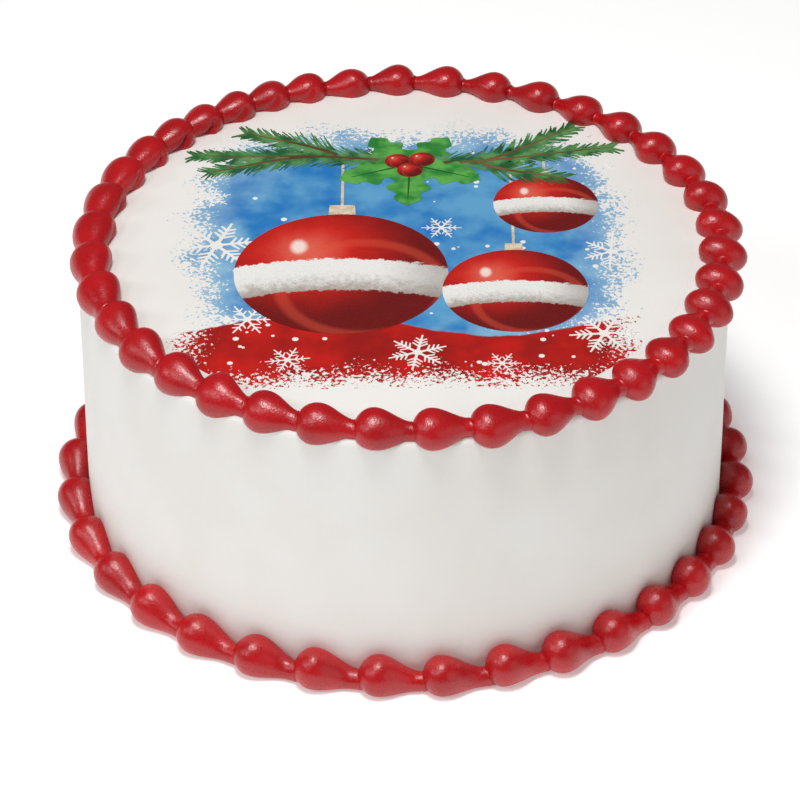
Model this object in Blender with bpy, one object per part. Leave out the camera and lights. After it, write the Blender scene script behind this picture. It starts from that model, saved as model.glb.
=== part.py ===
"""An uncut round Christmas cake: smooth white icing, a printed icing sheet on top, and a piped
shell border round the top edge and round the foot.

Metres, +Z up. The origin is on the cake's axis, at the level of the surface it stands on. -Y is
the front. Angles run anticlockwise seen from above, from +X.
"""

import math
import random

import bmesh
import bpy
from mathutils import Vector

# The iced cake: an eight inch cake under its icing
CAKE_RADIUS = 0.1043
CAKE_HEIGHT = 0.0925
CAKE_EDGE_ROUNDING = 0.003
CAKE_EDGE_STEPS = 2
CAKE_SIDES = 64

# The printed sheet of icing that covers the top inside the border
SHEET_RADIUS = 0.0915
SHEET_THICKNESS = 0.0005

# Clear space that is kept between one piece and the next
GAP = 0.0003

# Each piped bead is a round head, drawn out anticlockwise into a tail that ends under the next head.
# A head's section is an oval: long and short are its half widths, and lean is the long one's angle
# from level, so that a head on the top edge hangs outwards and down. Along its ring, its round end
# has a half width of its own. A tail's section is round.
# Each wave is (amount, phase in degrees), the first once round the ring, the second twice, and so on.
# The shift waves move the beads along the ring, in degrees: they crowd together at the back left and
# stand further apart at the front. The aside waves move them out from the axis, in metres. The size
# waves thicken their sections, as shares of their size.
TOP_BEAD = {
    "count": 39,
    "head_long": 0.0072,
    "head_short": 0.0060,
    "head_lean": -38.0,
    "head_end": 0.0061,
    "head_from_axis": 0.1006,
    "head_height": CAKE_HEIGHT + 0.0015,
    "tail_radius": 0.0020,
    "tail_from_axis": 0.1000,
    "tail_height": CAKE_HEIGHT + 0.0017,
    "first_angle": 5.0,
    "shift_waves": ((3.3, 98.0), (2.35, -79.0), (0.87, -175.0), (0.5, 11.0)),
    "aside_waves": ((0.0009, 107.0), (0.0007, 159.0)),
    "size_waves": ((0.035, 51.0), (0.047, 88.0)),
    "seed": 39,
}
BOTTOM_BEAD = {
    "count": 34,
    "head_long": 0.0065,
    "head_short": 0.0065,
    "head_lean": 0.0,
    "head_end": 0.0063,
    "head_from_axis": 0.1086,
    "head_height": 0.0056,
    "tail_radius": 0.0032,
    "tail_from_axis": 0.1082,
    "tail_height": 0.0031,
    "first_angle": 176.5,
    "shift_waves": ((4.4, 1.0),),
    "aside_waves": (),
    "size_waves": ((0.04, 150.0),),
    "seed": 34,
}

# How unevenly the beads are piped: the most that each may differ from its neighbours
UNEVEN_SIZE = 0.03
UNEVEN_PLACE = 0.0003
UNEVEN_ANGLE = 0.2

# How finely each bead is faceted
HEAD_RINGS = 3
TAIL_RINGS = 3
SECTION_POINTS = 8

# A ring of flat facets lies inside the round shape it stands for, so its corners stand out this much
FACET_GROWTH = math.cos(math.pi / SECTION_POINTS) ** -0.5

# Along the way to the next head, the tail is down to its own radius at the first share, and ends
# inside that head at the second
TAIL_REACH = 0.66
TAIL_END = 0.82

# The exact solver leaves a ring of so many fused beads in scraps when the cake is cut out of it
SOLVER = "MANIFOLD"

# Edges that turn by more than this stay sharp when a piece is shaded smooth
SHARP_TURN = math.radians(50)

# Each material's colour and roughness
ICING_WHITE = ((0.84, 0.83, 0.80, 1.0), 0.5)
PRINT_BLUE = ((0.45, 0.66, 0.80, 1.0), 0.6)
BUTTERCREAM_RED = ((0.50, 0.012, 0.022, 1.0), 0.35)


def clear_scene():
    for scene_object in list(bpy.data.objects):
        bpy.data.objects.remove(scene_object, do_unlink=True)


def make_material(name, look):
    colour, roughness = look
    material = bpy.data.materials.new(name)
    material.use_nodes = True
    shader = material.node_tree.nodes["Principled BSDF"]
    shader.inputs["Base Color"].default_value = colour
    shader.inputs["Roughness"].default_value = roughness
    shader.inputs["Metallic"].default_value = 0.0
    return material


def add_object(name, mesh):
    made = bpy.data.objects.new(name, mesh)
    bpy.context.scene.collection.objects.link(made)
    return made


def finish_piece(piece, material):
    """Gives a piece its material, and smooth shading but for its sharp edges."""
    piece.data.materials.clear()
    piece.data.materials.append(material)
    piece.data.shade_smooth()
    piece.data.set_sharp_from_angle(angle=SHARP_TURN)


def turned_mesh(name, profile, sides):
    """A solid turned round Z from a profile of (distance from axis, height), bottom to top."""
    mesh_data = bmesh.new()
    rings = []
    for from_axis, height in profile:
        ring = []
        for side in range(sides):
            angle = 2 * math.pi * side / sides
            place = (from_axis * math.cos(angle), from_axis * math.sin(angle), height)
            ring.append(mesh_data.verts.new(place))
        rings.append(ring)
    for lower, upper in zip(rings, rings[1:]):
        for side in range(sides):
            after = (side + 1) % sides
            mesh_data.faces.new((lower[side], lower[after], upper[after], upper[side]))
    mesh_data.faces.new(list(reversed(rings[0])))
    mesh_data.faces.new(rings[-1])
    mesh = bpy.data.meshes.new(name)
    mesh_data.to_mesh(mesh)
    mesh_data.free()
    return mesh


def cake_profile(grown_by=0.0):
    """The iced cake's side and its softly rounded top edge, grown outwards where asked."""
    radius = CAKE_RADIUS + grown_by
    top = CAKE_HEIGHT + grown_by
    rounding = CAKE_EDGE_ROUNDING + grown_by
    profile = [(radius, -grown_by)]
    for step in range(CAKE_EDGE_STEPS + 1):
        turn = 0.5 * math.pi * step / CAKE_EDGE_STEPS
        from_axis = radius - rounding + rounding * math.cos(turn)
        profile.append((from_axis, top - rounding + rounding * math.sin(turn)))
    return profile


def sum_waves(waves, angle):
    total = 0.0
    for times_round, (amount, phase) in enumerate(waves, start=1):
        total += amount * math.sin(times_round * angle + math.radians(phase))
    return total


def bead_angles(border):
    """Each head's angle in radians: even spacing, shifted by the waves and a little by hand."""
    draw = random.Random(border["seed"])
    angles = []
    for bead in range(border["count"]):
        share = 2 * math.pi * bead / border["count"]
        shift = sum_waves(border["shift_waves"], share) + draw.uniform(-UNEVEN_ANGLE, UNEVEN_ANGLE)
        angles.append(share + math.radians(border["first_angle"] + shift))
    return angles


def tail_sections(length):
    """Sections from the head's centre to the tail, each (distance along the bead, swell), where swell
    is 1 at the head's full size and 0 at the tail's."""
    sections = []
    for ring in range(1, TAIL_RINGS + 1):
        share = ring / TAIL_RINGS
        sections.append((TAIL_REACH * length * share, 0.5 + 0.5 * math.cos(math.pi * share)))
    return sections


def section_offset(border, turn, swell):
    """From a section's centre to its edge at this turn, as (outwards, up)."""
    lean = math.radians(border["head_lean"])
    along_long = border["head_long"] * math.cos(turn)
    along_short = border["head_short"] * math.sin(turn)
    head_out = along_long * math.cos(lean) - along_short * math.sin(lean)
    head_up = along_long * math.sin(lean) + along_short * math.cos(lean)
    tail_out = border["tail_radius"] * math.cos(turn + lean)
    tail_up = border["tail_radius"] * math.sin(turn + lean)
    return tail_out + (head_out - tail_out) * swell, tail_up + (head_up - tail_up) * swell


def bead_mesh(name, border, angle, length, draw):
    """One closed teardrop, curved along its ring."""
    even = 1.0 + draw.uniform(-UNEVEN_SIZE, UNEVEN_SIZE)
    scale = even + sum_waves(border["size_waves"], angle)
    aside = sum_waves(border["aside_waves"], angle) + draw.uniform(-UNEVEN_PLACE, UNEVEN_PLACE)
    raised = draw.uniform(-UNEVEN_PLACE, UNEVEN_PLACE)
    head_end = border["head_end"] * even

    def place(along, swell, out=0.0, up=0.0):
        from_axis = border["tail_from_axis"] * (1 - swell) + border["head_from_axis"] * swell
        height = border["tail_height"] * (1 - swell) + border["head_height"] * swell
        from_axis += aside + out
        turned = angle + along / border["head_from_axis"]
        return Vector((from_axis * math.cos(turned), from_axis * math.sin(turned), height + raised + up))

    def ring_at(along, swell, size):
        ring = []
        for point in range(SECTION_POINTS):
            out, up = section_offset(border, 2 * math.pi * point / SECTION_POINTS, swell)
            ring.append(mesh_data.verts.new(place(along, swell, out * size, up * size)))
        return ring

    mesh_data = bmesh.new()
    rings = []
    for ring in range(1, HEAD_RINGS + 1):
        turn = 0.5 * math.pi * ring / HEAD_RINGS
        size = scale * FACET_GROWTH * math.sin(turn)
        rings.append(ring_at(-head_end * math.cos(turn), 1.0, size))
    for along, swell in tail_sections(length):
        rings.append(ring_at(along, swell, scale * FACET_GROWTH))
    start = mesh_data.verts.new(place(-head_end, 1.0))
    end = mesh_data.verts.new(place(TAIL_END * length, 0.0))
    for point in range(SECTION_POINTS):
        after = (point + 1) % SECTION_POINTS
        mesh_data.faces.new((start, rings[0][after], rings[0][point]))
        mesh_data.faces.new((end, rings[-1][point], rings[-1][after]))
        for near, far in zip(rings, rings[1:]):
            mesh_data.faces.new((near[point], near[after], far[after], far[point]))
    bmesh.ops.recalc_face_normals(mesh_data, faces=mesh_data.faces)
    mesh = bpy.data.meshes.new(name)
    mesh_data.to_mesh(mesh)
    mesh_data.free()
    return mesh


def fuse(name, pieces):
    """One object whose mesh is the union of all the pieces, which are then removed."""
    first, rest = pieces[0], pieces[1:]
    group = bpy.data.collections.new(name + "_pieces")
    bpy.context.scene.collection.children.link(group)
    for piece in rest:
        bpy.context.scene.collection.objects.unlink(piece)
        group.objects.link(piece)
    union = first.modifiers.new("fuse", "BOOLEAN")
    union.operation = "UNION"
    union.operand_type = "COLLECTION"
    union.collection = group
    union.solver = SOLVER
    graph = bpy.context.evaluated_depsgraph_get()
    mesh = bpy.data.meshes.new_from_object(first.evaluated_get(graph))
    mesh.name = name
    for piece in pieces:
        bpy.data.objects.remove(piece, do_unlink=True)
    bpy.data.collections.remove(group)
    return add_object(name, mesh)


def cut_away(target, cutter):
    """Takes the cutter's space out of the target. The cutter stays as a hidden helper."""
    cutter.hide_render = True
    cutter.display_type = "WIRE"
    cut = target.modifiers.new("cut_" + cutter.name, "BOOLEAN")
    cut.operation = "DIFFERENCE"
    cut.solver = SOLVER
    cut.object = cutter


def make_border(name, border, material, cutters):
    angles = bead_angles(border)
    draw = random.Random(border["seed"] + 1)
    pieces = []
    for bead, angle in enumerate(angles):
        after = angles[(bead + 1) % len(angles)]
        length = (after - angle) % (2 * math.pi) * border["head_from_axis"]
        mesh = bead_mesh(f"{name}_bead_{bead:02d}", border, angle, length, draw)
        pieces.append(add_object(mesh.name, mesh))
    ring = fuse(name, pieces)
    finish_piece(ring, material)
    for cutter in cutters:
        cut_away(ring, cutter)


def make_cake_body(material):
    body = add_object("cake_body", turned_mesh("cake_body", cake_profile(), CAKE_SIDES))
    finish_piece(body, material)


def make_icing_sheet(material):
    low = CAKE_HEIGHT + GAP
    profile = [(SHEET_RADIUS, low), (SHEET_RADIUS, low + SHEET_THICKNESS)]
    sheet = add_object("icing_sheet", turned_mesh("icing_sheet", profile, CAKE_SIDES))
    finish_piece(sheet, material)


def make_cutters():
    """What the borders are cut back by: the cake with its gap, and the surface under the foot."""
    clearance = add_object("cake_clearance", turned_mesh("cake_clearance", cake_profile(GAP), CAKE_SIDES))
    reach = 2 * CAKE_RADIUS
    slab = turned_mesh("under_foot", [(reach, -CAKE_HEIGHT), (reach, 0.0)], CAKE_SIDES)
    return clearance, add_object("under_foot", slab)


def main():
    clear_scene()
    white = make_material("white_icing", ICING_WHITE)
    printed = make_material("printed_icing", PRINT_BLUE)
    red = make_material("red_buttercream", BUTTERCREAM_RED)
    make_cake_body(white)
    make_icing_sheet(printed)
    clearance, under_foot = make_cutters()
    make_border("top_border", TOP_BEAD, red, [clearance])
    make_border("bottom_border", BOTTOM_BEAD, red, [clearance, under_foot])


main()
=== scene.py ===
"""The Christmas cake's looks: finely piped red borders, smooth white icing and a printed icing sheet.

Metres, +Z up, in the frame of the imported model. The origin is on the cake's axis, at the level of the
surface it stands on. -Y is the front. Angles run anticlockwise seen from above, from +X.
"""

import math
import random

import bpy
import numpy as np
from mathutils import Matrix, Vector


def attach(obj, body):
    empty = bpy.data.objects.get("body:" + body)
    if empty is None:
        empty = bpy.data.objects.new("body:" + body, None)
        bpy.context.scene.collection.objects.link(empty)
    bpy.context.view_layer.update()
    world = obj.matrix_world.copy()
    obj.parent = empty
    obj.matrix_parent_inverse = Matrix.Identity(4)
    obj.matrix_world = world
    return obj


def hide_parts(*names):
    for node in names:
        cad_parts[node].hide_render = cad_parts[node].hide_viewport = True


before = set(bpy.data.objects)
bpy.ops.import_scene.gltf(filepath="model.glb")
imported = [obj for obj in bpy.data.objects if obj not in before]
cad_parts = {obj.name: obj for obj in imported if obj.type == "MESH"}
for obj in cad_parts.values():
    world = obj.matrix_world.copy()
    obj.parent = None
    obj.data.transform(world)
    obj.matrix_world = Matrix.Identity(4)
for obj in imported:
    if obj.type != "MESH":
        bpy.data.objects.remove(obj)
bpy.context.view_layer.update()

# The iced cake
CAKE_RADIUS = 0.1043
CAKE_HEIGHT = 0.0925
CAKE_EDGE_ROUNDING = 0.003
CAKE_SIDES = 288
CAKE_ROWS = 60
CAKE_EDGE_STEPS = 8
CAKE_TOP_RINGS = 30
CAKE_INNER_RING = 0.002
# The scraper's marks, which only press inwards: each wave's times round, turn per metre of height and
# phase, and the depth of them all
CAKE_WAVES = ((5, 30.0, 0.0), (11, -70.0, 1.0), (17, 150.0, 2.0))
CAKE_WAVE_DEPTH = 0.00006

# The printed sheet of icing on top. Over its rim it thins out to the rim's rise, so that no edge shows
SHEET_RADIUS = 0.0915
SHEET_RISE = 0.0003
SHEET_RIM = 0.0160
SHEET_RIM_RISE = 0.00002
SHEET_RINGS = 24
SHEET_SIDES = 192
# How far its rim reaches down into the icing
SHEET_ROOT = 0.0002

# Each layer of the print lies this much above the one under it. Within a layer, strokes that cross
# each other lie at this many slightly different heights, spread over this share of a step
PRINT_STEP = 0.00004
STROKE_HEIGHTS = 47
STROKE_SPREAD = 0.45
# Pieces of one kind that may overlap lie this share of a step above each other
OVERLAP = 0.2

# The piped beads, as in the solids: each a round head that is drawn out anticlockwise into a tail.
# Angles here are in degrees. Waves are pairs of amount and phase, the first once round the cake, the
# next twice. On its outer lower side a bead tapers over a shorter share of the way to the next head,
# its short reach: the middle share, the most that it grows, and the angle where it is longest. The last
# four shares before the seed say how far a form below applies to the ring
TOP_BEAD = {
    "count": 39,
    "head_long": 0.0072,
    "head_short": 0.0060,
    "head_lean": -38.0,
    "head_end": 0.0061,
    "head_from_axis": 0.1006,
    "head_height": CAKE_HEIGHT + 0.0015,
    "tail_radius": 0.0020,
    "tail_from_axis": 0.1000,
    "tail_height": CAKE_HEIGHT + 0.0017,
    "first_angle": 5.0,
    "shift_waves": ((3.3, 98.0), (2.35, -79.0), (0.87, -175.0), (0.5, 11.0)),
    "aside_waves": ((0.0009, 107.0), (0.0007, 159.0)),
    "size_waves": ((0.035, 51.0), (0.047, 88.0)),
    "short_reach": (0.76, 0.30, 225.0),
    "skirt": 0.9,
    "folded": 1.0,
    "crowded": 1.0,
    "flattened": 1.0,
    "seed": 39,
}
BOTTOM_BEAD = {
    "count": 34,
    "head_long": 0.0065,
    "head_short": 0.0065,
    "head_lean": 0.0,
    "head_end": 0.0063,
    "head_from_axis": 0.1086,
    "head_height": 0.0056,
    "tail_radius": 0.0032,
    "tail_from_axis": 0.1082,
    "tail_height": 0.0031,
    "first_angle": 176.5,
    "shift_waves": ((4.4, 1.0),),
    "aside_waves": (),
    "size_waves": ((0.04, 150.0),),
    "short_reach": (0.56, 0.0, 0.0),
    "skirt": 0.0,
    "folded": 0.0,
    "crowded": 0.0,
    "flattened": 0.0,
    "seed": 34,
}

# How uneven the beads are by hand: share of size, metres of place and degrees of angle. Their lumps are
# this many waves, each this share of the section high
UNEVEN_SIZE = 0.03
UNEVEN_PLACE = 0.0003
UNEVEN_ANGLE = 0.2
LUMP_WAVES = 5
LUMP_HEIGHT = 0.008

# How finely each bead is meshed. The tail has its rings closest where it meets the next head. The first
# ring is this share of a quarter turn from the very front
CAP_START = 0.04
CAP_RINGS = 11
TAPER_RINGS = 20
MEETING_RINGS = 12
BURIED_RINGS = 3
SECTION_POINTS = 48

# Shares of the way to the next head: how far the taper runs on the inner upper side, the stretch
# where the tail meets the next head, and where it ends inside that head
LONG_REACH = 0.74
MEETING = (0.60, 0.72)
TAIL_END = 0.84
# Over this stretch the tail spreads down against the icing
SKIRT_STRETCH = (0.5, 0.72)

# Where the beads are crowded, at the back left, a tail is still thick when the next head covers it
CROWDED_TOWARDS = 150.0
CROWDED_HALF_WIDTH = 80.0
CROWDED_REACH = 0.36

# At the right the heads are flatter, a little wider and blunter, and lean less
FLAT_CENTRE = 335.0
FLAT_HALF_WIDTH = 75.0
FLAT_LEAN = 24.0
FLAT_WIDER = 0.04
FLAT_LOWER = 0.13
FLAT_BLUNTER = 0.14

# A tail's end is pushed up into a fine lip round the next head. Its place is worked out for a tail that
# is up to this share of the head's thickness
LIP_HEIGHT = 0.00022
LIP_WIDTH = 0.00025
LIP_LIMIT = 0.95

# What would be below the surface that the cake stands on is pressed onto it, this softly
SETTLE_SOFTNESS = 0.0005

# At the back left, where the beads are crowded, each head bulges over its own tail on the inner side.
# The fold's line starts at the first section angle and has moved by the second at its end
FOLD_CENTRE = 140.0
FOLD_HALF_WIDTH = 62.0
FOLD_START = math.radians(158)
FOLD_TRAVEL = math.radians(55)
FOLD_LENGTH = 0.50
FOLD_DEPTH = 0.27
FOLD_WIDTH = 0.23
# Shares of the way to the next head over which the fold deepens and fades
FOLD_DEEPENS = (-0.08, 0.10)
FOLD_FADES = (0.42, 0.62)
# From bead to bead the fold's depth and its first angle vary this much
FOLD_UNEVEN_DEPTH = (0.6, 1.1)
FOLD_UNEVEN_START = 0.15
# Radians past the fold over which the bulge rises and fades, its height and how much shorter it tapers
LOBE_RISES = 0.25
LOBE_FADES = (1.2, 2.2)
LOBE_HEIGHT = 0.08
LOBE_SHORTER = 0.12

# The print's ground: half the sky's width and depth, and the y of its middle. Then half the red field's
# width, and how far in front of the cake's axis its crest, its worn edge and its end are
SKY_HALF_WIDTH = 0.075
SKY_HALF_DEPTH = 0.073
SKY_MIDDLE = 0.004
FIELD_HALF_WIDTH = 0.062
FIELD_CREST = 0.043
FIELD_WORN = 0.066
FIELD_END = 0.0775

# Each kind of motif's layer. A higher one covers a lower one
SNOW_LAYER = 1
CORD_LAYER = 1.5
BAUBLE_LAYER = 2
NEEDLE_LAYER = 3
STEM_LAYER = 3.5
LEAF_LAYER = 4
VEIN_LAYER = 4.5
BERRY_LAYER = 5

# Baubles, each with its middle and radius. Their cords all end at the same y
BAUBLES = (
    ("print_bauble_large", (-0.020, -0.014), 0.034),
    ("print_bauble_middle", (0.035, -0.024), 0.023),
    ("print_bauble_small", (0.046, 0.026), 0.017),
)
CORD_END = 0.052
CORD_WIDTH = 0.0009

# Snowflakes: middle, radius, heading in degrees and pairs of side twigs on each arm
SNOWFLAKES = (
    ((-0.060, 0.002), 0.0135, 10, 3),
    ((-0.049, -0.040), 0.0085, 0, 2),
    ((0.066, -0.002), 0.0095, 25, 3),
    ((0.062, -0.048), 0.0110, 5, 3),
    ((-0.004, 0.062), 0.0090, 15, 3),
    ((0.012, 0.012), 0.0065, 0, 2),
    ((0.004, -0.058), 0.0095, 20, 3),
    ((-0.036, -0.062), 0.0070, 8, 2),
    ((-0.062, 0.030), 0.0060, 20, 2),
    ((0.030, -0.064), 0.0060, 0, 2),
)
# Dots of snow: how many, and the stretches of x, y and radius that they are drawn from
SNOW_DOTS = 120
SNOW_DOTS_X = (-0.070, 0.070)
SNOW_DOTS_Y = (-0.072, 0.070)
SNOW_DOT_RADII = (0.0003, 0.0011)
PRINT_SEED = 7

# Fir twigs: where each starts, its heading in degrees and its length
FIR_TWIGS = (
    ((0.000, 0.051), 166, 0.070),
    ((-0.022, 0.056), 146, 0.034),
    ((-0.030, 0.055), 186, 0.036),
    ((0.004, 0.051), -2, 0.066),
    ((0.024, 0.051), 24, 0.040),
    ((0.026, 0.050), -28, 0.028),
)
NEEDLE_SPACING = 0.0011
NEEDLE_LENGTH = 0.0115
NEEDLE_WIDTHS = (0.0011, 0.0003)
STEM_WIDTH = 0.0014

# Holly: where its leaves meet, their headings in degrees and lengths, and the berries' middles
HOLLY_ROOT = (0.002, 0.050)
LOWER_LEAVES = (-158, -92, -22)
LOWER_LEAF_LENGTH = 0.025
UPPER_LEAVES = (128, 52)
UPPER_LEAF_LENGTH = 0.021
VEIN_LENGTH = 0.021
VEIN_WIDTHS = (0.0010, 0.0003)
BERRIES = ((-0.002, 0.052), (0.006, 0.053), (0.002, 0.0465))
BERRY_RADIUS = 0.0043

# The studio's lamps: name, place, size, power and colour. They all face the cake's middle
LAMPS = (
    ("overhead_softbox", (-0.10, -0.25, 1.15), (0.32, 0.28), 8.4, (1.0, 1.0, 1.0)),
    ("front_left_softbox", (-1.20, -1.25, 1.75), (0.7, 0.7), 9.0, (0.96, 0.98, 1.0)),
    ("left_softbox", (-1.90, -0.50, 1.20), (0.40, 0.40), 5.0, (1.0, 1.0, 1.0)),
    ("right_fill", (2.10, -1.30, 0.95), (2.6, 1.5), 8.5, (1.0, 1.0, 1.0)),
)
LAMP_AIM = Vector((0.0, 0.0, 0.05))
WORLD_COLOUR = (1.0, 0.97, 0.93, 1.0)
WORLD_STRENGTH = 0.13

# The pale floor, just under the cake and faintly lit from within so that it stays white all round
FLOOR_REACH = 4.0
FLOOR_DROP = 0.0001
FLOOR_COLOUR = (0.97, 0.97, 0.97, 1.0)
FLOOR_GLOW = 0.29

# The camera of the photograph
CAMERA_SENSOR = 36.0
CAMERA_CLIP = (0.05, 20.0)
CAMERA_PLACE = (-0.00142, -1.1191, 0.8323)
CAMERA_PITCH = math.radians(35.524)
CAMERA_ROLL = math.radians(-0.1263)
CAMERA_LENS = 188.89

# Millimetres in a metre
MILLIMETRES = 1000.0

# Edges that turn more than this are shaded sharp
SHARP_ANGLE = math.radians(50)


class Field:
    """A number that varies over a surface. Its arithmetic adds Math nodes to the material."""

    def __init__(self, tree, socket):
        self.tree = tree
        self.socket = socket

    def math(self, operation, *others):
        node = self.tree.nodes.new("ShaderNodeMath")
        node.operation = operation
        for place, value in enumerate((self, *others)):
            connect(self.tree, value, node.inputs[place])
        return Field(self.tree, node.outputs[0])

    def __add__(self, other):
        return self.math("ADD", other)

    def __sub__(self, other):
        return self.math("SUBTRACT", other)

    def __mul__(self, other):
        return self.math("MULTIPLY", other)

    def __truediv__(self, other):
        return self.math("DIVIDE", other)

    def __pow__(self, other):
        return self.math("POWER", other)

    def __abs__(self):
        return self.math("ABSOLUTE")

    def most(self, other):
        return self.math("MAXIMUM", other)

    def ramp(self, low, high):
        """0 at low, 1 at high, smooth in between; low may be above high."""
        node = self.tree.nodes.new("ShaderNodeMapRange")
        node.interpolation_type = "SMOOTHSTEP"
        start, end = (0.0, 1.0) if low < high else (1.0, 0.0)
        node.inputs["From Min"].default_value = min(low, high)
        node.inputs["From Max"].default_value = max(low, high)
        node.inputs["To Min"].default_value = start
        node.inputs["To Max"].default_value = end
        connect(self.tree, self, node.inputs["Value"])
        return Field(self.tree, node.outputs["Result"])


def connect(tree, value, socket):
    """Sets a socket to a number or a colour, or links a field or another socket to it."""
    if isinstance(value, Field):
        tree.links.new(value.socket, socket)
    elif isinstance(value, bpy.types.NodeSocket):
        tree.links.new(value, socket)
    else:
        socket.default_value = value


class Paint:
    """A material under construction: its shader and the helpers that feed it."""

    def __init__(self, name, roughness):
        self.material = bpy.data.materials.new(name)
        self.material.use_nodes = True
        self.tree = self.material.node_tree
        self.shader = self.tree.nodes["Principled BSDF"]
        self.shader.inputs["Roughness"].default_value = roughness
        self.coordinates = self.tree.nodes.new("ShaderNodeTexCoord").outputs["Object"]

    def set(self, name, value):
        connect(self.tree, value, self.shader.inputs[name])

    def axes(self):
        node = self.tree.nodes.new("ShaderNodeSeparateXYZ")
        self.tree.links.new(self.coordinates, node.inputs[0])
        return [Field(self.tree, output) for output in node.outputs]

    def noise(self, scale, detail=2.0, roughness=0.5, stretch=(1.0, 1.0, 1.0)):
        """Cloudy noise about 0.5, with this many features to the metre."""
        mapping = self.tree.nodes.new("ShaderNodeMapping")
        mapping.inputs["Scale"].default_value = stretch
        self.tree.links.new(self.coordinates, mapping.inputs["Vector"])
        node = self.tree.nodes.new("ShaderNodeTexNoise")
        node.inputs["Scale"].default_value = scale
        node.inputs["Detail"].default_value = detail
        node.inputs["Roughness"].default_value = roughness
        self.tree.links.new(mapping.outputs[0], node.inputs["Vector"])
        return Field(self.tree, node.outputs["Fac"])

    def mix(self, share, first, second):
        """The first colour where share is 0, the second where it is 1."""
        node = self.tree.nodes.new("ShaderNodeMix")
        node.data_type = "RGBA"
        connect(self.tree, share, node.inputs["Factor"])
        connect(self.tree, first, node.inputs[6])
        connect(self.tree, second, node.inputs[7])
        return node.outputs[2]

    def bump(self, height, depth):
        """Relief from a field whose whole range, 0 to 1, is this many metres deep."""
        node = self.tree.nodes.new("ShaderNodeBump")
        node.inputs["Distance"].default_value = depth
        connect(self.tree, height, node.inputs["Height"])
        self.set("Normal", node.outputs[0])


def rgb(red, green, blue):
    """A colour given as it looks on a screen, 0 to 255, in the linear values that a shader takes."""
    linear = []
    for value in (red, green, blue):
        share = value / 255
        linear.append(share / 12.92 if share <= 0.04045 else ((share + 0.055) / 1.055) ** 2.4)
    return (*linear, 1.0)


WHITE_ICING = rgb(241, 239, 235)
WHITE_ICING_SHADE = rgb(237, 234, 229)


def white_icing_colour(paint):
    """White icing, very slightly warmer in soft wide patches."""
    return paint.mix(paint.noise(25.0, 2.0).ramp(0.35, 0.7), WHITE_ICING, WHITE_ICING_SHADE)


def icing_paint(name, glow=0.0):
    """A paint with the icing's satin look and this much glow inside. Its colour is set by what it is for."""
    paint = Paint(name, 0.5)
    paint.set("Subsurface Weight", glow)
    paint.set("Subsurface Radius", (0.004, 0.003, 0.002))
    paint.set("Subsurface Scale", 0.6)
    paint.set("Specular IOR Level", 0.35)
    smoothing = paint.noise(38.0, 2.0, 0.4, stretch=(1.0, 1.0, 2.0))
    grain = paint.noise(1500.0, 2.0)
    paint.bump(smoothing * 0.8 + grain * 0.2, 0.0003)
    return paint


def make_icing_material():
    paint = icing_paint("white_icing", 0.12)
    paint.set("Base Color", white_icing_colour(paint))
    return paint.material


def make_buttercream_material():
    """Satin red buttercream: fine bubbles roughen its highlights."""
    paint = Paint("red_buttercream", 0.36)
    patches = paint.noise(90.0, 2.0).ramp(0.3, 0.7)
    paint.set("Base Color", paint.mix(patches, rgb(186, 11, 21), rgb(168, 9, 18)))
    paint.set("Subsurface Weight", 0.03)
    paint.set("Subsurface Radius", (0.003, 0.0006, 0.0005))
    paint.set("Subsurface Scale", 0.5)
    paint.set("Specular IOR Level", 0.60)
    grain = paint.noise(2400.0, 1.0)
    ripple = paint.noise(1500.0, 1.0)
    paint.set("Roughness", paint.noise(900.0, 2.0).ramp(0.2, 0.8) * 0.1 + 0.25)
    paint.bump(grain * 0.5 + ripple * 0.5, 0.00013)
    return paint.material


def make_object(name, points, faces, material, node=None):
    """A piece on the cake from its points and faces, which may stand for a solid of the model."""
    mesh = bpy.data.meshes.new(name)
    mesh.from_pydata([tuple(point) for point in points], [], [tuple(face) for face in faces])
    mesh.materials.append(material)
    mesh.validate()
    mesh.update()
    mesh.shade_smooth()
    mesh.set_sharp_from_angle(angle=SHARP_ANGLE)
    piece = bpy.data.objects.new(name, mesh)
    bpy.context.scene.collection.objects.link(piece)
    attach(piece, "root")
    if node:
        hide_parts(node)
    return piece


def grid_faces(rows, columns):
    """Quads over rows of points that each close in a ring."""
    faces = []
    for row in range(rows - 1):
        for column in range(columns):
            after = (column + 1) % columns
            faces.append((
                row * columns + column,
                row * columns + after,
                (row + 1) * columns + after,
                (row + 1) * columns + column,
            ))
    return faces


def sum_waves(waves, angle):
    """The sum at an angle of waves given as (amount, phase): the first goes once round, the next twice."""
    total = 0.0
    for times_round, (amount, phase) in enumerate(waves, start=1):
        total += amount * math.sin(times_round * angle + math.radians(phase))
    return total


def bead_angles(border):
    """Each head's angle in radians: even spacing, shifted by the waves and a little by hand."""
    draw = random.Random(border["seed"])
    angles = []
    for bead in range(border["count"]):
        share = 2 * math.pi * bead / border["count"]
        shift = sum_waves(border["shift_waves"], share) + draw.uniform(-UNEVEN_ANGLE, UNEVEN_ANGLE)
        angles.append(share + math.radians(border["first_angle"] + shift))
    return angles


def smooth_share(value, low, high):
    """0 below low, 1 above high, smooth in between, for numbers and arrays."""
    share = np.clip((value - low) / (high - low), 0.0, 1.0)
    return share * share * (3 - 2 * share)


def turned_about(angle, centre, half_width):
    """1 at an angle round the cake, in degrees, fading to 0 at half_width to either side."""
    apart = (math.degrees(angle) - centre + 180) % 360 - 180
    return float(smooth_share(-abs(apart), -half_width, 0.0))


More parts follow.
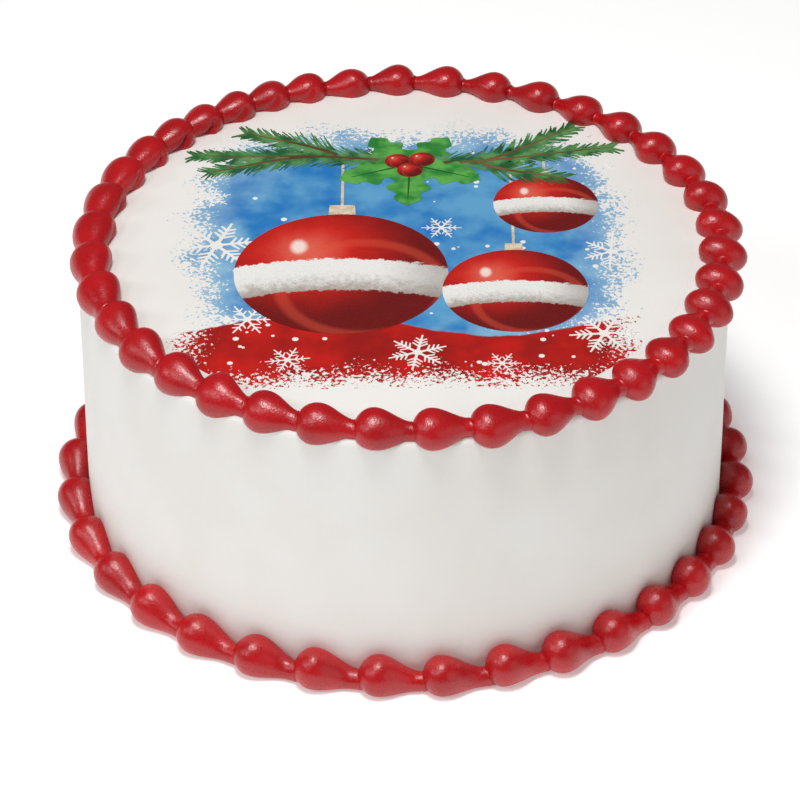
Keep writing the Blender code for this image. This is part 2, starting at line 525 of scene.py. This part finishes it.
def bead_grid(length, end):
    """Each point's place along a bead, its share of the full section and its turn round the section."""
    cap_turn = 0.5 * np.pi * np.linspace(CAP_START, 1.0, CAP_RINGS)
    tail = np.concatenate([
        np.linspace(0, MEETING[0], TAPER_RINGS + 1)[1:],
        np.linspace(*MEETING, MEETING_RINGS + 1)[1:],
        np.linspace(MEETING[1], TAIL_END, BURIED_RINGS + 1)[1:],
    ])
    along = np.concatenate([-end * np.cos(cap_turn), length * tail])
    size = np.concatenate([np.sin(cap_turn), np.ones(len(tail))])
    turn = 2 * np.pi * np.arange(SECTION_POINTS) / SECTION_POINTS
    along, turn = np.meshgrid(along, turn, indexing="ij")
    return along, np.broadcast_to(size[:, None], along.shape), turn


def fold_and_lobe(border, angle, way, turn, lean, draw):
    """How deep each point lies in a crowded bead's fold, and how far it is on the bulge beside it.

    way is the point's share of the way to the next head.
    """
    folded = border["folded"] * turned_about(angle, FOLD_CENTRE, FOLD_HALF_WIDTH)
    folded *= draw.uniform(*FOLD_UNEVEN_DEPTH)
    start = FOLD_START + draw.uniform(-FOLD_UNEVEN_START, FOLD_UNEVEN_START)
    share = np.clip(way, 0.0, FOLD_LENGTH) / FOLD_LENGTH
    past = (turn + lean) % (2 * np.pi) - (start + FOLD_TRAVEL * share)
    ends = smooth_share(way, *FOLD_DEEPENS) * smooth_share(-way, -FOLD_FADES[1], -FOLD_FADES[0])
    fold = folded * np.exp(-((past / FOLD_WIDTH) ** 2)) * ends
    on_lobe = smooth_share(past, 0.0, LOBE_RISES) * smooth_share(-past, -LOBE_FADES[1], -LOBE_FADES[0])
    return fold, folded * on_lobe * ends


def piping_lumps(along, turn, length, draw):
    """Small random waves over a bead."""
    lumps = np.zeros_like(along)
    for _ in range(LUMP_WAVES):
        times_round = draw.randint(1, 3)
        times_along = draw.uniform(0.5, 1.5)
        phase = draw.uniform(0, 2 * math.pi)
        lumps += np.sin(times_round * turn + 2 * np.pi * times_along * along / length + phase)
    return lumps


def bead_points(border, angle, length, draw, shape_draw):
    """One bead's rings of points, from the front of its head to the end of its tail."""
    even = 1.0 + draw.uniform(-UNEVEN_SIZE, UNEVEN_SIZE)
    scale = even + sum_waves(border["size_waves"], angle)
    aside = sum_waves(border["aside_waves"], angle) + draw.uniform(-UNEVEN_PLACE, UNEVEN_PLACE)
    raised = draw.uniform(-UNEVEN_PLACE, UNEVEN_PLACE)
    flat = border["flattened"] * turned_about(angle, FLAT_CENTRE, FLAT_HALF_WIDTH)
    end = border["head_end"] * even * (1.0 - FLAT_BLUNTER * flat)
    lean = math.radians(border["head_lean"] + FLAT_LEAN * flat)
    along, size, turn = bead_grid(length, end)
    outer_lower = 0.5 + 0.5 * np.cos(turn)
    fold, lobe = fold_and_lobe(border, angle, along / length, turn, lean, shape_draw)

    middle, more, towards = border["short_reach"]
    short_reach = middle + more * math.cos(angle - math.radians(towards))
    reach = LONG_REACH + (short_reach - LONG_REACH) * outer_lower - LOBE_SHORTER * lobe
    reach += CROWDED_REACH * border["crowded"] * turned_about(angle, CROWDED_TOWARDS, CROWDED_HALF_WIDTH)
    swell = 0.5 + 0.5 * np.cos(np.pi * np.clip(along / (reach * length), 0.0, 1.0))

    along_long = border["head_long"] * (1.0 + FLAT_WIDER * flat) * np.cos(turn)
    along_short = border["head_short"] * (1.0 - FLAT_LOWER * flat) * np.sin(turn)
    head_out = along_long * math.cos(lean) - along_short * math.sin(lean)
    head_up = along_long * math.sin(lean) + along_short * math.cos(lean)

    skirt = 1.0 + border["skirt"] * outer_lower**2 * smooth_share(along / length, *SKIRT_STRETCH)
    tail_out = border["tail_radius"] * skirt * np.cos(turn + lean)
    tail_up = border["tail_radius"] * skirt * np.sin(turn + lean)

    lumps = LUMP_HEIGHT * piping_lumps(along, turn, length, shape_draw)
    bulge = size * (1.0 + lumps - FOLD_DEPTH * fold + LOBE_HEIGHT * lobe) * scale
    out = (tail_out + (head_out - tail_out) * swell) * bulge
    up = (tail_up + (head_up - tail_up) * swell) * bulge
    thick = np.hypot(out, up)
    meets = length - end * np.sqrt(1 - np.clip(thick / border["head_short"], 0.0, LIP_LIMIT) ** 2)
    lip = 1.0 + LIP_HEIGHT * np.exp(-(((along - meets + LIP_WIDTH) / LIP_WIDTH) ** 2)) / thick
    out *= lip
    up *= lip
    from_axis = border["tail_from_axis"] * (1 - swell) + border["head_from_axis"] * swell + aside + out
    height = border["tail_height"] * (1 - swell) + border["head_height"] * swell + raised + up
    turned = angle + along / border["head_from_axis"]
    return np.stack([from_axis * np.cos(turned), from_axis * np.sin(turned), height], axis=-1)


def settle_on_surface(points):
    """Presses what would be below the surface flat onto it, with a soft edge."""
    height = points[..., 2]
    steps = np.clip(height / SETTLE_SOFTNESS, -30, 30)
    points[..., 2] = np.where(steps > 4, height, SETTLE_SOFTNESS * np.log1p(np.exp(steps)))
    return points


def make_border(name, node, border, material, on_surface):
    """A ring of beads, each piped over its neighbour's tail, in one piece that stands for the solid."""
    angles = bead_angles(border)
    draw = random.Random(border["seed"] + 1)
    shape_draw = random.Random(border["seed"] + 2)
    points = []
    faces = []
    for bead, angle in enumerate(angles):
        after = angles[(bead + 1) % len(angles)]
        length = (after - angle) % (2 * math.pi) * border["head_from_axis"]
        rings = bead_points(border, angle, length, draw, shape_draw)
        if on_surface:
            rings = settle_on_surface(rings)
        start = len(points)
        rows = len(rings)
        points.extend(rings.reshape(-1, 3).tolist())
        for face in grid_faces(rows, SECTION_POINTS):
            faces.append(tuple(start + corner for corner in reversed(face)))
        faces.append(tuple(start + column for column in range(SECTION_POINTS)))
        last = start + (rows - 1) * SECTION_POINTS
        faces.append(tuple(last + column for column in reversed(range(SECTION_POINTS))))
    return make_object(name, points, faces, material, node)


def make_cake_body(material):
    """The iced cake, its side smoothed by hand with a scraper, so very slightly uneven."""
    side_heights = np.linspace(0, CAKE_HEIGHT - CAKE_EDGE_ROUNDING, CAKE_ROWS)
    profile = [(CAKE_RADIUS, height) for height in side_heights]
    for step in range(1, CAKE_EDGE_STEPS + 1):
        turn = 0.5 * math.pi * step / CAKE_EDGE_STEPS
        from_axis = CAKE_RADIUS - CAKE_EDGE_ROUNDING * (1 - math.cos(turn))
        profile.append((from_axis, CAKE_HEIGHT - CAKE_EDGE_ROUNDING * (1 - math.sin(turn))))
    for from_axis in np.linspace(CAKE_RADIUS - CAKE_EDGE_ROUNDING, CAKE_INNER_RING, CAKE_TOP_RINGS)[1:]:
        profile.append((from_axis, CAKE_HEIGHT))
    points = []
    for from_axis, height in profile:
        for side in range(CAKE_SIDES):
            angle = 2 * math.pi * side / CAKE_SIDES
            wave = 0.0
            for times_round, climb, phase in CAKE_WAVES:
                wave += math.sin(times_round * angle + climb * height + phase)
            radius = from_axis - CAKE_WAVE_DEPTH * (1.5 + 0.5 * wave) * from_axis / CAKE_RADIUS
            points.append((radius * math.cos(angle), radius * math.sin(angle), height))
    faces = grid_faces(len(profile), CAKE_SIDES)
    faces.append(tuple(reversed(range(CAKE_SIDES))))
    last = (len(profile) - 1) * CAKE_SIDES
    faces.append(tuple(last + side for side in range(CAKE_SIDES)))
    return make_object("iced_cake", points, faces, material, "cake_body")


def make_print_material():
    """The sheet's ground: a blue airbrushed sky with speckled edges, and a red field below it."""
    paint = icing_paint("printed_icing")
    x, y, _ = paint.axes()
    across = abs(x / SKY_HALF_WIDTH)
    back = abs((y - SKY_MIDDLE) / SKY_HALF_DEPTH)
    sky_edge = ((across**3.0 + back**3.0) ** (1 / 3) - 1.0) * (SKY_HALF_WIDTH * MILLIMETRES)
    speckle = paint.noise(800.0, 3.0, 0.65) - 0.5
    clouds = paint.noise(70.0, 3.0) - 0.5
    ragged = sky_edge + speckle * 46.0 + clouds * 26.0 + 9.0
    sky = ragged.ramp(0.8, -0.8)
    blue = paint.mix(clouds.ramp(-0.22, 0.2), rgb(28, 118, 190), rgb(96, 164, 208))
    pale = (sky_edge + clouds * 30.0).ramp(-30.0, -4.0)
    blue = paint.mix(pale * 0.75, blue, rgb(165, 200, 220))
    colour = paint.mix(sky, white_icing_colour(paint), blue)

    hill = y + FIELD_CREST + (x * 55.0).math("SINE") * 0.006
    red_edge = hill * MILLIMETRES + clouds * 5.0
    aside = (abs(x) - FIELD_HALF_WIDTH) * MILLIMETRES
    below = (y * -1.0 - FIELD_WORN) * MILLIMETRES
    worn = aside.most(below) + speckle * 44.0 + clouds * 16.0
    red = red_edge.ramp(0.5, -0.5) * worn.ramp(6.0, 4.5) * (y + FIELD_END).ramp(0.0, 0.0002)
    red_paint = paint.mix(clouds.ramp(-0.2, 0.2), rgb(196, 22, 14), rgb(150, 14, 10))
    paint.set("Base Color", paint.mix(red, colour, red_paint))
    return paint.material


def make_sheet(material):
    """A disc that rises from nothing at its rim to its full thickness."""
    turns = [2 * math.pi * side / SHEET_SIDES for side in range(SHEET_SIDES)]
    points = []
    for ring in range(SHEET_RINGS):
        from_axis = SHEET_RADIUS * (1 - ring / SHEET_RINGS)
        rise = float(smooth_share(SHEET_RADIUS - from_axis, 0.0, SHEET_RIM))
        height = CAKE_HEIGHT + SHEET_RIM_RISE + (SHEET_RISE - SHEET_RIM_RISE) * rise
        points.extend((from_axis * math.cos(turn), from_axis * math.sin(turn), height) for turn in turns)
    under = len(points)
    root = CAKE_HEIGHT - SHEET_ROOT
    points.extend((SHEET_RADIUS * math.cos(turn), SHEET_RADIUS * math.sin(turn), root) for turn in turns)
    faces = grid_faces(SHEET_RINGS, SHEET_SIDES)
    faces.append(tuple((SHEET_RINGS - 1) * SHEET_SIDES + side for side in range(SHEET_SIDES)))
    for side in range(SHEET_SIDES):
        after = (side + 1) % SHEET_SIDES
        faces.append((under + side, under + after, after, side))
    faces.append(tuple(under + side for side in reversed(range(SHEET_SIDES))))
    return make_object("printed_sheet", points, faces, material, "icing_sheet")


def bar(start, end, start_width, end_width):
    """A straight stroke's four corners."""
    (x0, y0), (x1, y1) = start, end
    length = math.hypot(x1 - x0, y1 - y0)
    across = (-(y1 - y0) / length, (x1 - x0) / length)
    corners = (
        (x0, y0, -start_width / 2),
        (x1, y1, -end_width / 2),
        (x1, y1, end_width / 2),
        (x0, y0, start_width / 2),
    )
    return [(x + across[0] * half, y + across[1] * half) for x, y, half in corners]


def step_along(start, heading, length):
    """The point this far from start, with the heading in degrees."""
    turn = math.radians(heading)
    return start[0] + length * math.cos(turn), start[1] + length * math.sin(turn)


def disc(centre, radius, sides):
    """A round outline's corners."""
    return [step_along(centre, 360 * side / sides, radius) for side in range(sides)]


def make_motif(name, outlines, layer, material, place=(0.0, 0.0), scale=1.0):
    """Flat printed shapes, from outlines that run anticlockwise, lying on the sheet at a layer's height."""
    top = CAKE_HEIGHT + SHEET_RISE + layer * PRINT_STEP
    under = CAKE_HEIGHT + 0.5 * SHEET_RISE
    points = []
    faces = []
    for number, outline in enumerate(outlines):
        start = len(points)
        count = len(outline)
        raised = STROKE_SPREAD * PRINT_STEP * (number % STROKE_HEIGHTS) / STROKE_HEIGHTS
        points.extend((x, y, top + raised) for x, y in outline)
        points.extend((x, y, under) for x, y in outline)
        faces.append(tuple(range(start, start + count)))
        faces.append(tuple(reversed(range(start + count, start + 2 * count))))
        for corner in range(count):
            after = (corner + 1) % count
            faces.append((start + after, start + corner, start + count + corner, start + count + after))
    piece = make_object(name, points, faces, material)
    piece.location = (*place, 0.0)
    piece.scale = (scale, scale, 1.0)
    return piece


def snowflake(centre, radius, heading, twigs):
    """Six arms, each with pairs of side twigs that shorten outwards."""
    outlines = [disc(centre, 0.16 * radius, 12)]
    width = 0.10 * radius
    for arm in range(6):
        turn = heading + 60 * arm
        outlines.append(bar(centre, step_along(centre, turn, radius), width, 0.6 * width))
        for twig in range(twigs):
            share = 0.34 + 0.5 * twig / twigs
            root = step_along(centre, turn, share * radius)
            for side in (-55, 55):
                tip = step_along(root, turn + side, (0.40 - 0.26 * share) * radius)
                outlines.append(bar(root, tip, 0.8 * width, 0.5 * width))
    return outlines


def fir_twig(start, heading, length, draw):
    """A stem whose needles lean forward at both sides, shorter towards the tip."""
    stem = []
    needles = []
    place = start
    count = int(length / NEEDLE_SPACING)
    for step in range(count):
        share = step / count
        turn = heading + 14 * math.sin(2.4 * share)
        ahead = step_along(place, turn, length / count)
        width = STEM_WIDTH * (1.2 - share)
        stem.append(bar(place, ahead, width, width))
        for side in (-1, 1):
            lean = side * (38 + draw.uniform(-9, 9))
            reach = NEEDLE_LENGTH * (1.0 - 0.55 * share) * draw.uniform(0.75, 1.1)
            needles.append(bar(place, step_along(place, turn + lean, reach), *NEEDLE_WIDTHS))
        place = ahead
    return stem, needles


def holly_leaf(root, heading, length):
    """A leaf with three hollows between spikes along each side."""
    edge = []
    steps = 48
    for step in range(steps + 1):
        share = step / steps
        spikes = 0.62 + 0.38 * abs(math.cos(math.pi * 3.5 * share)) ** 1.6
        edge.append((share, 0.30 * math.sin(math.pi * share) ** 0.7 * spikes))
    outline = []
    for share, half in edge[:-1]:
        along = step_along(root, heading, share * length)
        outline.append(step_along(along, heading - 90, half * length))
    for share, half in reversed(edge[1:]):
        along = step_along(root, heading, share * length)
        outline.append(step_along(along, heading + 90, half * length))
    return outline


def flat_paint(name, first, second, patch):
    """A printed colour that drifts between two tones."""
    paint = icing_paint(name)
    paint.set("Base Color", paint.mix(paint.noise(patch, 2.0).ramp(0.35, 0.65), first, second))
    return paint.material


def make_bauble_material(banded):
    """A painted ball: dark at its rim, a soft light at its upper left, and a band of white fluff."""
    paint = icing_paint("print_bauble" if banded else "print_berry")
    x, y, _ = paint.axes()
    brush = paint.noise(3.0, 3.0, 0.6) - 0.5
    apart = ((x + 0.32) ** 2.0 + (y - 0.34) ** 2.0) ** 0.5 + brush * 0.25
    colour = paint.mix(apart.ramp(0.25, 1.15), rgb(214, 30, 20), rgb(112, 8, 8))
    colour = paint.mix(apart.ramp(0.5, 0.0) * 0.75, colour, rgb(238, 118, 96))
    gleam = (((x + 0.40) * 1.5) ** 2.0 + (y - 0.44) ** 2.0) ** 0.5
    colour = paint.mix(gleam.ramp(0.16, 0.06) * 0.9, colour, rgb(255, 236, 226))
    bounce = ((x - 0.2) ** 2.0 + (y + 0.25) ** 2.0) ** 0.5
    colour = paint.mix(bounce.ramp(0.66, 0.74) * bounce.ramp(0.86, 0.78) * 0.35, colour, rgb(232, 84, 60))
    if banded:
        middle = y + x * x * 0.16 + 0.02
        fluff = paint.noise(16.0, 4.0, 0.7) - 0.5
        tufts = abs(middle) + fluff * 0.16
        tone = paint.mix((middle + fluff * 0.5).ramp(0.05, -0.3), rgb(244, 242, 238), rgb(176, 166, 156))
        tone = paint.mix((x + fluff * 0.4).ramp(0.3, 1.1) * 0.7, tone, rgb(150, 140, 134))
        colour = paint.mix(tufts.ramp(0.275, 0.25), colour, tone)
    paint.set("Base Color", colour)
    return paint.material


def make_snow(draw):
    """Snowflakes, and dots of snow between them."""
    flakes = []
    for centre, radius, heading, twigs in SNOWFLAKES:
        flakes.extend(snowflake(centre, radius, heading, twigs))
    for _ in range(SNOW_DOTS):
        centre = (draw.uniform(*SNOW_DOTS_X), draw.uniform(*SNOW_DOTS_Y))
        flakes.append(disc(centre, draw.uniform(*SNOW_DOT_RADII), 10))
    white = flat_paint("print_white", WHITE_ICING, WHITE_ICING_SHADE, 25.0)
    make_motif("print_snow", flakes, SNOW_LAYER, white)


def make_baubles():
    """Baubles on cords, each with a cap."""
    cords = []
    for _, (x, y), radius in BAUBLES:
        cords.append(bar((x, y + radius), (x, CORD_END), CORD_WIDTH, CORD_WIDTH))
        cords.append(bar((x, y + 0.97 * radius), (x, y + 1.16 * radius), 0.26 * radius, 0.24 * radius))
    cord = flat_paint("print_cord", rgb(226, 214, 190), rgb(196, 178, 146), 300.0)
    make_motif("print_cords", cords, CORD_LAYER, cord)
    bauble = make_bauble_material(banded=True)
    for number, (name, place, radius) in enumerate(BAUBLES):
        layer = BAUBLE_LAYER + OVERLAP * number
        make_motif(name, [disc((0.0, 0.0), 1.0, 96)], layer, bauble, place, radius)


def make_fir(draw):
    """Twigs of needles, and their stems over them."""
    stems = []
    needles = []
    for start, heading, length in FIR_TWIGS:
        stem, leaves = fir_twig(start, heading, length, draw)
        stems.extend(stem)
        needles.extend(leaves)
    green = flat_paint("print_fir", rgb(30, 92, 48), rgb(92, 148, 84), 160.0)
    make_motif("print_fir_needles", needles, NEEDLE_LAYER, green)
    brown = flat_paint("print_stem", rgb(88, 60, 36), rgb(120, 92, 60), 90.0)
    make_motif("print_fir_stems", stems, STEM_LAYER, brown)


def make_holly():
    """Leaves, the veins of the lower ones, and berries where they meet."""
    leaves = [holly_leaf(HOLLY_ROOT, heading, LOWER_LEAF_LENGTH) for heading in LOWER_LEAVES]
    leaves += [holly_leaf(HOLLY_ROOT, heading, UPPER_LEAF_LENGTH) for heading in UPPER_LEAVES]
    leaf = flat_paint("print_leaf", rgb(38, 128, 52), rgb(96, 176, 78), 140.0)
    make_motif("print_holly", leaves, LEAF_LAYER, leaf)
    veins = []
    for heading in LOWER_LEAVES:
        veins.append(bar(HOLLY_ROOT, step_along(HOLLY_ROOT, heading, VEIN_LENGTH), *VEIN_WIDTHS))
    vein = flat_paint("print_vein", rgb(20, 88, 40), rgb(24, 96, 44), 90.0)
    make_motif("print_holly_veins", veins, VEIN_LAYER, vein)
    berry = make_bauble_material(banded=False)
    for number, place in enumerate(BERRIES):
        layer = BERRY_LAYER + OVERLAP * number
        make_motif(f"print_berry_{number}", [disc((0.0, 0.0), 1.0, 32)], layer, berry, place, BERRY_RADIUS)


def make_print_motifs():
    """Generic winter ornaments, from the lowest layer up."""
    draw = random.Random(PRINT_SEED)
    make_snow(draw)
    make_baubles()
    make_fir(draw)
    make_holly()


def make_lamp(name, place, size, power, colour):
    light = bpy.data.lights.new(name, "AREA")
    light.shape = "RECTANGLE"
    light.size, light.size_y = size
    light.energy = power
    light.color = colour
    lamp = bpy.data.objects.new(name, light)
    lamp.location = place
    lamp.rotation_mode = "QUATERNION"
    lamp.rotation_quaternion = (LAMP_AIM - Vector(place)).to_track_quat("-Z", "Y")
    bpy.context.scene.collection.objects.link(lamp)


def make_lights():
    for name, place, size, power, colour in LAMPS:
        make_lamp(name, place, size, power, colour)
    world = bpy.data.worlds.new("studio")
    world.use_nodes = True
    background = world.node_tree.nodes["Background"]
    background.inputs["Color"].default_value = WORLD_COLOUR
    background.inputs["Strength"].default_value = WORLD_STRENGTH
    bpy.context.scene.world = world


def make_floor():
    paint = Paint("floor_white", 0.9)
    paint.set("Base Color", FLOOR_COLOUR)
    paint.set("Specular IOR Level", 0.0)
    paint.set("Emission Color", (1.0, 1.0, 1.0, 1.0))
    paint.set("Emission Strength", FLOOR_GLOW)
    mesh = bpy.data.meshes.new("floor")
    corners = [(x * FLOOR_REACH, y * FLOOR_REACH, 0) for x, y in ((-1, -1), (1, -1), (1, 1), (-1, 1))]
    mesh.from_pydata(corners, [], [(0, 1, 2, 3)])
    mesh.materials.append(paint.material)
    floor = bpy.data.objects.new("floor", mesh)
    floor.location.z = -FLOOR_DROP
    bpy.context.scene.collection.objects.link(floor)


def make_camera():
    camera = bpy.data.cameras.new("camera")
    camera.lens = CAMERA_LENS
    camera.sensor_width = CAMERA_SENSOR
    camera.clip_start, camera.clip_end = CAMERA_CLIP
    eye = bpy.data.objects.new("camera", camera)
    tilt = Matrix.Rotation(math.pi / 2 - CAMERA_PITCH, 4, "X")
    roll = Matrix.Rotation(CAMERA_ROLL, 4, "Z")
    eye.matrix_world = Matrix.Translation(CAMERA_PLACE) @ tilt @ roll
    bpy.context.scene.collection.objects.link(eye)
    bpy.context.scene.camera = eye


bpy.context.scene.view_settings.view_transform = "Standard"
make_camera()
make_lights()
make_floor()
icing = make_icing_material()
buttercream = make_buttercream_material()
make_cake_body(icing)
make_sheet(make_print_material())
make_print_motifs()
make_border("piped_top_border", "top_border", TOP_BEAD, buttercream, on_surface=False)
make_border("piped_bottom_border", "bottom_border", BOTTOM_BEAD, buttercream, on_surface=True)
